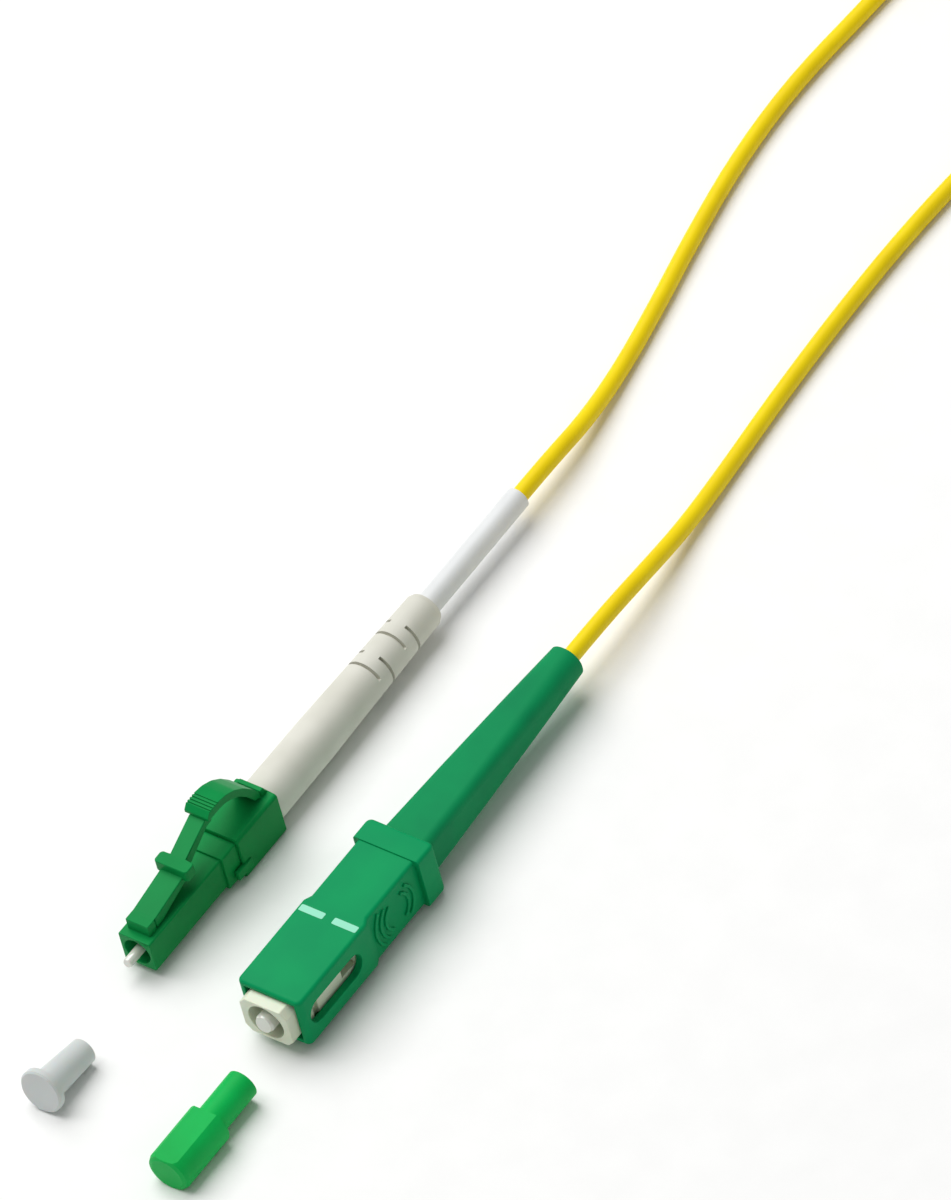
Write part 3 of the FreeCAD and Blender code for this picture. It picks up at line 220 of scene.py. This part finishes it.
finishes["green_cap"] = finish("moulded polyethylene, green", ("#04bb54", "#03b04d"), 0.5, 0.3,
                               0.005, **{"Subsurface Weight": 0.1, "Subsurface Scale": 0.0008,
                                         "Specular IOR Level": 0.15})
print("finishes so far:", len(finishes))

# %% [markdown]
# The ferrules are zirconia, a dense ceramic that is ground and polished until it shines like
# porcelain. Behind them, out of sight, sit turned brass with nickel plating, a drawn aluminium
# crimp and a spring of hard drawn steel.

# %% Ceramic and metals
finishes["zirconia"] = finish("polished zirconia", ("#e4e6dd", "#dfe1d6"), 0.16, 0.2, 0.0005,
                              IOR=2.1, **{"Subsurface Weight": 0.1, "Subsurface Scale": 0.0004})
finishes["nickel_brass"] = finish("turned brass, nickel plated", ("#c9c2b2", "#bdb6a6"), 0.28, 0.1,
                                  0.002, Metallic=1.0)
finishes["aluminium_crimp"] = finish("drawn aluminium", ("#d0d2d4", "#c4c6c8"), 0.35, 0.15, 0.002,
                                     Metallic=1.0)
finishes["spring_steel"] = finish("hard drawn steel", ("#a9acae", "#9a9da0"), 0.3, 0.1, 0.002,
                                  Metallic=1.0)


def wear(obj, slot):
    """Give an object the finish of a material slot."""
    obj.data.materials.clear()
    obj.data.materials.append(finishes[slot])
    return obj


for name, node in nodes.items():
    wear(node, slot_of_node[name])
print("finishes in all:", len(finishes))

# %% [markdown]
# The cord is about a metre of 2.1 mm round cable. It leaves the white sleeve of the small connector,
# runs back over the table in a gentle bend, and comes home to the large connector. What the picture
# doesn't show is wound into a neat coil, put away just outside the view. Its route is one smooth
# curve. The free runs go through listed points, and the turns of the coil are worked out from the
# layers they lie in.

# %% The cord's route
CORD = 2.1 * MM
RISE = CORD / 2
SMALL_RUN = [
    (-11.085, 50.75, 3.2), (-11.085, 57.25, 3.2), (-11.585, 64.75, 2.0), (-12.985, 73.75, 1.05),
    (-14.885, 83.75, 1.05), (-17.285, 94.75, 1.05), (-19.485, 107.25, 1.05),
    (-20.285, 120.25, 1.05), (-19.285, 133.25, 1.05), (-18.685, 146.25, 1.05),
]
LARGE_RUN = [
    (9.515, 153.75, 7.2), (9.415, 148.25, 6.4), (8.715, 139.25, 2.6), (7.615, 129.75, 1.05),
    (6.215, 118.25, 1.05), (5.515, 104.75, 1.05), (5.715, 91.25, 1.05), (6.415, 77.75, 1.05),
    (7.415, 66.25, 1.05), (8.415, 56.25, 1.7), (9.215, 47.25, 3.4), (9.615, 39.25, 4.5),
    (9.615, 31.85, 4.5),
]
COIL_CENTRE = np.array([-3.085, 159.25]) * MM
TURN_POINTS = 36
# Each layer of the coil: its height and the radii of its turns, in the order of winding
LAYERS = [(1.05, (15.75, 13.65, 11.55, 9.45)), (2.87, (10.5, 12.6, 14.7)),
          (4.69, (13.65, 11.55)), (6.51, (12.6,))]
COIL_RADIUS = 12.6
# Where in a turn it starts to climb and to cross, and how far into the next one it settles
CLIMB_FROM, CROSS_FROM, SETTLED_AT = 0.70, 0.83, 0.12
CROSSING_LIFT = 0.28
LAST_HALF_TURN = 0.5
# The tie sits at this share of a turn, and the turns ease up over it by its thickness
TIE_SHARE, TIE_HALF_SHARE, TIE_EASE_SHARE = 0.36, 0.032, 0.13
TIE_THICKNESS = 0.45


def eased(share):
    """A smooth step from 0 to 1: half of one minus the cosine of pi times the share."""
    return 0.5 - 0.5 * np.cos(np.pi * np.clip(share, 0, 1))


def coil_route():
    """Points of the coil, clockwise from its left side. A turn keeps its radius, and steps to the
    next one's in its last sixth. There an upper layer lifts a little for each layer under it,
    because it crosses the turns below, and a turn that starts a new layer climbs just before."""
    radii = [radius for _, row in LAYERS for radius in row]
    heights = [height for height, row in LAYERS for _ in row]
    levels = [level for level, (_, row) in enumerate(LAYERS) for _ in row]
    radii, heights, levels = (np.array(row + row[-1:], float) for row in (radii, heights, levels))
    count = len(radii) - 1
    turns = np.arange(1, int((count + LAST_HALF_TURN) * TURN_POINTS)) / TURN_POINTS
    whole = np.minimum(turns.astype(int), count)
    after = np.minimum(whole + 1, count)
    share = turns - whole
    cross = eased((share - CROSS_FROM) / (1 - CROSS_FROM))
    climb = eased((share - CLIMB_FROM) / (CROSS_FROM - CLIMB_FROM))
    radius = radii[whole] + (radii[after] - radii[whole]) * cross
    new_layer = levels[after] > levels[whole]
    lift = CROSSING_LIFT * np.where(new_layer, levels[after], levels[whole])
    height = heights[whole] + (heights[after] - heights[whole] + lift) * climb * new_layer
    height += lift * climb * (~new_layer)
    settle = 1 - eased(share / SETTLED_AT)
    height += settle * CROSSING_LIFT * levels[whole] * (whole > 0)
    height += TIE_THICKNESS * (1 - eased((np.abs(share - TIE_SHARE) - TIE_HALF_SHARE)
                                         / TIE_EASE_SHARE))
    angle = np.pi - math.tau * turns
    return np.stack([COIL_CENTRE[0] + radius * MM * np.cos(angle),
                     COIL_CENTRE[1] + radius * MM * np.sin(angle), height * MM], axis=1)


entry = [(COIL_CENTRE[0] - LAYERS[0][1][0] * MM, COIL_CENTRE[1], RISE)]
leave = [(COIL_CENTRE[0] + LAYERS[-1][1][0] * MM, COIL_CENTRE[1], LAYERS[-1][0] * MM)]
route = np.concatenate([np.array(SMALL_RUN) * MM, entry, coil_route(), leave,
                        np.array(LARGE_RUN) * MM])
steps = np.linalg.norm(np.diff(route, axis=0), axis=1)
print("cord length in m:", round(float(steps.sum()), 3))

# %% [markdown]
# A NURBS curve of the third order passes close to its points without a kink, and its bevel gives
# the round section.

# %% The cord
curve = bpy.data.curves.new("cord", "CURVE")
curve.dimensions = "3D"
curve.bevel_depth = CORD / 2
curve.bevel_resolution = 4
spline = curve.splines.new("NURBS")
spline.points.add(len(route) - 1)
spline.points.foreach_set("co", np.column_stack([route, np.ones(len(route))]).ravel())
spline.order_u = 3
spline.use_endpoint_u = True
spline.resolution_u = 4
cord = linked("cord", curve)
wear(cord, "cord_yellow")
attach(cord, "patch_cord")
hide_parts("cord_lc_run", "cord_coil", "cord_sc_run")
print("cord points:", len(route))

# %% [markdown]
# New solid pieces are surfaces over a grid of two parameters. One function turns a grid of points
# into a mesh, closed along either direction where asked, with faces that point outwards.

# %% Surfaces from grids
def grid_mesh(name, points, wrap_rows=False, wrap_columns=False, caps=False):
    """A mesh over an array of points with rows and columns. Neighbouring points make a face of
    four corners. A wrapped direction joins its last points to its first, and caps close the first
    and last rows with one face each."""
    rows, columns = points.shape[:2]
    index = np.arange(rows * columns).reshape(rows, columns)
    if wrap_rows:
        index = np.vstack([index, index[:1]])
    if wrap_columns:
        index = np.hstack([index, index[:, :1]])
    quads = np.stack([index[:-1, :-1], index[:-1, 1:], index[1:, 1:], index[1:, :-1]], axis=-1)
    faces = quads.reshape(-1, 4).tolist()
    if caps:
        ring = np.arange(columns)
        faces += [ring[::-1].tolist(), (ring + (rows - 1) * columns).tolist()]
    mesh = bpy.data.meshes.new(name)
    mesh.from_pydata(points.reshape(-1, 3).tolist(), [], faces)
    mesh.validate()
    mesh.update()
    return mesh


def dressed(name, mesh, slot, body="patch_cord", smooth=True):
    """An object for a mesh, with its finish, riding on its body."""
    obj = linked(name, mesh)
    wear(obj, slot)
    mesh.polygons.foreach_set("use_smooth", np.full(len(mesh.polygons), smooth))
    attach(obj, body)
    return obj


# %% [markdown]
# No moulded edge is sharp: the mould's corners have a radius of about a tenth of a millimetre, and
# the soft line along each edge tells the eye how small the thing is. A copy of each housing is
# merged into whole faces, and a bevel modifier rounds every outer edge that turns by more than
# thirty degrees. Inner corners stay crisp, because there the mould's own edges meet. The copy stands
# for the solid, and moves with the same body.

# %% Soft edges
MERGE_DISTANCE = 0.002 * MM
FLAT_ANGLE = math.radians(1)
EDGE_ANGLE = math.radians(30)
EDGE_SEGMENTS = 3


def softened(name, radius_mm):
    """A copy of a solid whose outer edges are rounded to a radius in millimetres. An edge is an
    outer one where its two faces bend away from each other, and it gets the full bevel weight."""
    mesh = nodes[name].data.copy()
    mesh.attributes.remove(mesh.attributes["custom_normal"])
    work = bmesh.new()
    work.from_mesh(mesh)
    bmesh.ops.remove_doubles(work, verts=work.verts, dist=MERGE_DISTANCE)
    bmesh.ops.dissolve_limit(work, angle_limit=FLAT_ANGLE, verts=work.verts, edges=work.edges)
    turned = [edge.calc_face_angle() > EDGE_ANGLE for edge in work.edges]
    outer = [turns and edge.is_convex for turns, edge in zip(turned, work.edges)]
    for edge, turns, rounded in zip(work.edges, turned, outer):
        edge.smooth = rounded or not turns
    work.to_mesh(mesh)
    work.free()
    weight = mesh.attributes.new("bevel_weight_edge", "FLOAT", "EDGE")
    weight.data.foreach_set("value", np.array(outer, np.float32))
    piece = dressed(name + "_moulded", mesh, slot_of_node[name], body_of_node.get(name, "patch_cord"))
    bevel = piece.modifiers.new("edges", "BEVEL")
    bevel.width = radius_mm * MM
    bevel.segments = EDGE_SEGMENTS
    bevel.limit_method = "WEIGHT"
    bevel.use_clamp_overlap = False
    bevel.harden_normals = True
    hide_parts(name)
    return piece


EDGE_RADII = {"lc_housing": 0.1, "lc_latch": 0.14, "lc_rear_housing": 0.14, "lc_trigger": 0.05,
              "sc_grip": 0.1, "sc_plug_frame": 0.12}
for name, radius in EDGE_RADII.items():
    softened(name, radius)
print("solids with soft edges:", len(EDGE_RADII))

# %% [markdown]
# The latch arm and its root are one moulding, which bends where the arm leaves the root. The solids
# have a gap there, so that the arm can turn. A skin a few hundredths of a millimetre thick carries
# the plastic over the gap and moves with the arm. It is a strip with a four-cornered section, which
# runs from the root's top over the gap and a little way up the arm.

# %% Latch root
SMALL_AXIS_X = -11.085 * MM
ARM_WIDTH = 3.06 * MM
ARM_SLOPE = 1.05 / 5.8
ROOT_TOP = 7.06 * MM
ROOT_GAP = 0.12
SKIN = 0.05 * MM
SKIN_BEFORE, SKIN_AFTER = 0.42, 0.4
SKIN_END_RISE, SKIN_MIDDLE_RISE = 0.004, 0.014
arm_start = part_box("lc_latch")[0].y
along = arm_start + np.array([-SKIN_BEFORE, -ROOT_GAP, 0.0, SKIN_AFTER]) * MM
above = ROOT_TOP + np.array([SKIN_END_RISE, SKIN_MIDDLE_RISE, SKIN_MIDDLE_RISE,
                             SKIN_AFTER * ARM_SLOPE + SKIN_END_RISE]) * MM
half = ARM_WIDTH / 2
section = np.array([(-half, -SKIN), (half, -SKIN), (half, 0.0), (-half, 0.0)])
strip = np.stack([np.broadcast_to(SMALL_AXIS_X + section[:, 0], (4, 4)),
                  np.broadcast_to(along[:, None], (4, 4)), above[:, None] + section[:, 1]], axis=2)
dressed("latch_root_skin", grid_mesh("latch_root_skin", strip, wrap_columns=True, caps=True),
        "green_pbt_lc", "lc_latch_arm", smooth=False)
print("skin over the gap in mm:", round((along[-1] - along[0]) / MM, 2))

# %% [markdown]
# A tie of hook-and-loop tape holds the coil: a woven nylon band about 5 mm wide, with a fine pile
# that swallows the light. It wraps the bundle as tightly as a string would. For every direction in
# the cut across the bundle, the turn that reaches furthest that way carries the band, so the band's
# line is that turn's centre plus the direction times the cord's radius and the band's own place.

# %% The tie
TIE_GAP = 0.02
finishes["tie_nylon"] = finish("woven hook-and-loop tape, black", ("#1d1e20", "#26272a"), 0.85, 0.25,
                               0.03)


def tie_band(directions=96, across=7):
    """Points of the band, as rows across its width and columns round the bundle, first on the
    inside and then on the outside. Each place is a radius and a height, turned about the coil."""
    centres = np.array([(radius, level + TIE_THICKNESS) for level, row in LAYERS for radius in row])
    turn = np.linspace(0, math.tau, directions, endpoint=False)
    normal = np.stack([np.cos(turn), np.sin(turn)], axis=1)
    carrier = centres[np.argmax(centres @ normal.T, axis=0)]
    rings = [carrier + normal * (CORD / MM / 2 + offset) for offset in (TIE_GAP, TIE_THICKNESS)]
    share = np.linspace(-1, 1, across) * TIE_HALF_SHARE + TIE_SHARE
    share = np.concatenate([share, share[::-1]])
    line = np.stack([rings[0]] * across + [rings[1]] * across)
    angle = (np.pi - math.tau * share)[:, None]
    return np.stack([COIL_CENTRE[0] + line[..., 0] * MM * np.cos(angle),
                     COIL_CENTRE[1] + line[..., 0] * MM * np.sin(angle),
                     line[..., 1] * MM], axis=2)


dressed("tie", grid_mesh("tie", tie_band(), wrap_rows=True, wrap_columns=True), "tie_nylon")
print("tie width in mm:", round(2 * TIE_HALF_SHARE * math.tau * COIL_RADIUS, 1))

# %% [markdown]
# The two pale marks across the top of the large grip are printed there. Plugged in, they vanish into
# the adapter, so a fitter sees that the connector is home. Each is a film of ink, drawn here as a
# very low plate with rounded corners.

# %% Printed marks
MARK_HEIGHT = 0.03 * MM
MARK_SIZE = (3.4 * MM, 0.95 * MM)
MARK_CORNER_POWER = 0.18
MARK_BEHIND_FRONT = 12.2 * MM
MARK_ACROSS = 2.35 * MM
GRIP_RISE = 3.7 * MM
LARGE_AXIS = (9.615 * MM, 4.5 * MM)
finishes["pale_print"] = finish("pad-printed ink, pale mint", ("#93e6c6", "#8bdfbd"), 0.5, 0.15,
                                0.003)


def rounded_plate(centre, size, power, bottom, top, around=64):
    """A grid of three rings: the outline at the bottom, the same at the top, and the middle. The
    outline is the cosine and sine raised to a small power, so a rectangle with soft corners."""
    angle = np.linspace(0, math.tau, around, endpoint=False)
    x = np.sign(np.cos(angle)) * np.abs(np.cos(angle)) ** power * size[0] / 2
    y = np.sign(np.sin(angle)) * np.abs(np.sin(angle)) ** power * size[1] / 2
    ring = np.stack([centre[0] + x, centre[1] + y], axis=1)
    flat = np.array([(bottom, 1.0), (top, 1.0), (top, 0.0)])
    shrunk = centre + (ring[None] - centre) * flat[:, 1][:, None, None]
    height = np.broadcast_to(flat[:, 0, None, None], (3, around, 1))
    return np.concatenate([shrunk, height], axis=2)


grip_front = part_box("sc_grip")[0].y
grip_top = LARGE_AXIS[1] + GRIP_RISE
for side, sign in (("left", -1), ("right", 1)):
    centre = np.array([LARGE_AXIS[0] + sign * MARK_ACROSS, grip_front + MARK_BEHIND_FRONT])
    plate = rounded_plate(centre, MARK_SIZE, MARK_CORNER_POWER, grip_top - MARK_HEIGHT,
                          grip_top + MARK_HEIGHT)
    dressed("mark_" + side, grid_mesh("mark_" + side, plate, wrap_columns=True),
            "pale_print", "sc_outer_grip", smooth=False)
print("marks sit at a height in mm of", round(grip_top / MM, 2))

# %% [markdown]
# The cord lies on a sheet of matte white board, large enough that its edge never shows. One broad
# soft light hangs over it, a little to the left of the plugs and behind them. It leaves the tops
# bright, the sides in shade and the shadows short and soft. The white room adds an even light from
# all round, which keeps the shadows from going black.

# %% Table and light
TABLE_HALF = 2.0
KEY_PLACE, KEY_SIZE, KEY_POWER = (-0.6, 0.1, 1.2), 1.3, 19.8
ROOM_LIGHT = 0.3
near, far = -TABLE_HALF, TABLE_HALF
corners = np.array([[(near, far, 0), (near, near, 0)], [(far, far, 0), (far, near, 0)]])
table = linked("table", grid_mesh("table", corners))
finishes["table"] = finish("matte white board", ("#fbfbfa", "#f9f9f8"), 0.7, 0.8, 0.01)
wear(table, "table")


def soft_light(name, place, size, power):
    """A square area light that faces the object. Its place and size are in metres."""
    data = bpy.data.lights.new(name, "AREA")
    data.size = size
    data.energy = power
    back = np.array(place, float) - LOOK_AT
    back /= np.linalg.norm(back)
    right = np.cross((0.0, 0.0, 1.0), back)
    right /= np.linalg.norm(right)
    return placed(linked(name, data), (right, np.cross(back, right), back), place)


soft_light("key", KEY_PLACE, KEY_SIZE, KEY_POWER)
world = bpy.data.worlds.new("room")
bpy.context.scene.world = world
world.use_nodes = True
room = world.node_tree.nodes["Background"]
room.inputs["Color"].default_value = linear("#ffffff")
room.inputs["Strength"].default_value = ROOM_LIGHT
bpy.context.scene.view_settings.view_transform = "Standard"
print("view transform:", bpy.context.scene.view_settings.view_transform)
